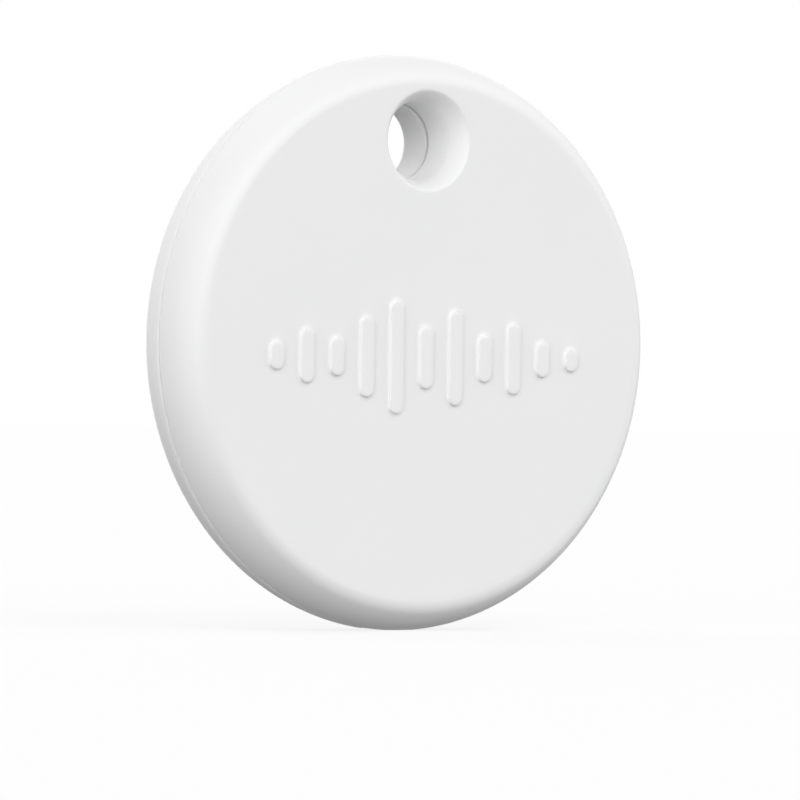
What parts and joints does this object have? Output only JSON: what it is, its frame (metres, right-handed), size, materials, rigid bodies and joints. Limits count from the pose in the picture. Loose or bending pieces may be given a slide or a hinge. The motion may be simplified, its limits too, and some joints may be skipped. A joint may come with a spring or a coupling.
{
  "type": "bluetooth tracker tag",
  "caption": "Round pocket tracker tag with soft-edged snap-together covers, a flared keyring hole, a press-to-click face, a piezo sounder, a circuit board and a coin cell.",
  "frame": {"origin": "centre of the bounding box, on the axis of the round body", "axes": "+Z towards the keyring hole, -Y out of the front face with the raised emblem, +X to the right as seen from the front"},
  "size_m": [0.0388, 0.0074, 0.0387],
  "materials": {
    "white_shell": "fine satin moulded texture, off-white",
    "seal_rubber": "soft grey silicone",
    "adhesive": "translucent pressure-sensitive film",
    "brass": "rolled sheet, lightly tarnished",
    "ceramic": "silvered piezo ceramic",
    "solder_mask": "green solder mask over glass-fibre laminate",
    "chip_plastic": "moulded black epoxy",
    "capacitor_ceramic": "fired ceramic with tinned ends",
    "antenna_ceramic": "pale glazed ceramic",
    "nickel_steel": "nickel-plated steel",
    "film": "amber polyimide film",
    "ferrite": "dark grey ferrite",
    "cell_gasket": "grey polypropylene",
    "cathode": "pressed black powder",
    "lithium": "soft silvery foil",
    "separator": "white non-woven sheet"
  },
  "bodies": {
    "rear_shell": {"rear_cover": "white_shell"},
    "seal_pair": {"perimeter_seal": "seal_rubber", "keyring_seal": "seal_rubber"},
    "front_shell": {"front_cover": "white_shell", "sounder_adhesive": "adhesive", "sounder_plate": "brass", "sounder_ceramic": "ceramic"},
    "board": {"circuit_board": "solder_mask", "radio_chip": "chip_plastic", "motion_sensor": "chip_plastic", "sounder_driver_chip": "chip_plastic", "sounder_transistor": "chip_plastic", "main_crystal": "nickel_steel", "clock_crystal": "nickel_steel", "chip_antenna": "antenna_ceramic", "antenna_inductor": "ferrite", "antenna_capacitor": "capacitor_ceramic", "radio_capacitor_a": "capacitor_ceramic", "radio_capacitor_b": "capacitor_ceramic", "crystal_capacitor_a": "capacitor_ceramic", "crystal_capacitor_b": "capacitor_ceramic", "supply_capacitor": "capacitor_ceramic", "bulk_capacitor": "capacitor_ceramic", "sensor_resistor_a": "chip_plastic", "sensor_resistor_b": "chip_plastic", "boost_inductor": "ferrite", "sounder_contact_rim": "nickel_steel", "sounder_contact_disc": "nickel_steel", "switch_base": "chip_plastic", "switch_dome": "nickel_steel", "switch_retainer": "film", "battery_clip": "nickel_steel", "battery_contact": "nickel_steel"},
    "plunger": {"switch_plunger": "chip_plastic"},
    "cell": {"cell_can": "nickel_steel", "cell_gasket": "cell_gasket", "cell_cap": "nickel_steel", "cell_cathode": "cathode", "cell_separator": "separator", "cell_anode": "lithium"}
  },
  "joints": [
    {"name": "cover_release", "type": "slide", "parent": "rear_shell", "child": "seal_pair", "axis": [0, -1, 0], "range_m": [0, 0.018]},
    {"name": "cover_press", "type": "slide", "parent": "seal_pair", "child": "front_shell", "axis": [0, 1, 0], "range_m": [0, 0.00012]},
    {"name": "board_lift", "type": "slide", "parent": "rear_shell", "child": "board", "axis": [0, -1, 0], "range_m": [0, 0.009]},
    {"name": "cell_lift", "type": "slide", "parent": "rear_shell", "child": "cell", "axis": [0, -1, 0], "range_m": [0, 0.0045]},
    {"name": "switch_press", "type": "slide", "parent": "board", "child": "plunger", "axis": [0, 1, 0], "range_m": [0, 0.00012]}
  ],
  "couplings": [
    {"joint": "board_lift", "follows": "cover_release", "ratio": 0.5},
    {"joint": "cell_lift", "follows": "cover_release", "ratio": 0.25},
    {"joint": "switch_press", "follows": "cover_press", "ratio": 1}
  ]
}
